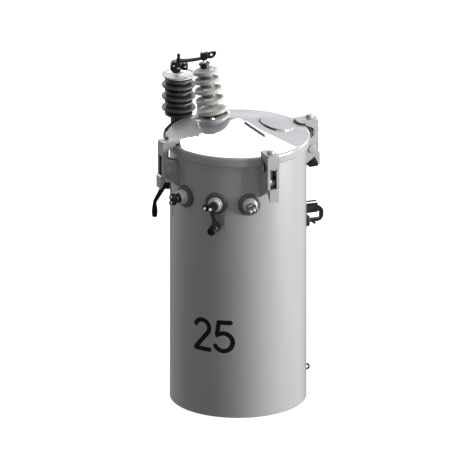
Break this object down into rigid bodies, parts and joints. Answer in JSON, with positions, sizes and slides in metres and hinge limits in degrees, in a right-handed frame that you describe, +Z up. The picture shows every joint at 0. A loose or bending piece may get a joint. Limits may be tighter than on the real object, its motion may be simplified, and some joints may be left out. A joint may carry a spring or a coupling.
{
  "type": "pole mounted transformer",
  "caption": "Round steel tank distribution transformer with clamped conical cover, porcelain bushings, surge arrester and pole hangers.",
  "frame": {"origin": "centre of the tank's foot, at the level it rests on", "axes": "+Z up along the tank's axis, -Y towards the middle low voltage bushing, +Y towards the pole"},
  "size_m": [0.4955, 0.5229, 1.071],
  "materials": {
    "painted_tank": "glossy light grey enamel",
    "painted_fitting": "glossy light grey enamel",
    "gasket_rubber": "matte dark grey",
    "porcelain": "glazed light grey",
    "arrester_polymer": "satin dark grey polymer",
    "arrester_disc": "glazed white",
    "bright_steel": "zinc plated",
    "dark_metal": "black japanned",
    "bronze": "weathered bronze",
    "black_wire": "black insulation",
    "grip_plastic": "black sleeve"
  },
  "bodies": {
    "root": {"arrester_body": "arrester_polymer", "arrester_bracket": "painted_tank", "arrester_clamp": "dark_metal", "arrester_ground_lead": "black_wire", "arrester_stem": "arrester_polymer", "arrester_top": "arrester_disc", "breaker_handle": "dark_metal", "breaker_handle_grip": "grip_plastic", "breaker_handle_hub": "dark_metal", "bushing_boss": "painted_tank", "bushing_cap": "dark_metal", "bushing_clamp_ring": "painted_tank", "bushing_stud": "bright_steel", "bushing_wire_clamp": "dark_metal", "clamp_lugs": "dark_metal", "clamp_pins": "painted_fitting", "clamp_screws": "bright_steel", "cover": "painted_tank", "cover_blank_disc": "painted_tank", "cover_clamp_back_left": "painted_fitting", "cover_clamp_back_right": "painted_fitting", "cover_clamp_front_left": "painted_fitting", "cover_clamp_front_right": "painted_fitting", "cover_gasket": "gasket_rubber", "cover_rib": "painted_tank", "ground_boss": "dark_metal", "ground_eye": "dark_metal", "ground_nut": "bright_steel", "ground_pad": "painted_tank", "ground_screw": "dark_metal", "high_voltage_bushing": "porcelain", "jumper_wire": "black_wire", "lifting_lug_left": "dark_metal", "lifting_lug_right": "dark_metal", "low_voltage_bushings": "porcelain", "low_voltage_seats": "gasket_rubber", "low_voltage_terminal_left": "dark_metal", "low_voltage_terminal_middle": "dark_metal", "low_voltage_terminal_right": "dark_metal", "neutral_strap": "bronze", "pole_hanger_lower": "painted_tank", "pole_hanger_upper": "painted_tank", "tank_floor": "painted_tank", "tank_rim": "painted_tank", "tank_shell": "painted_tank"}
  },
  "joints": []
}
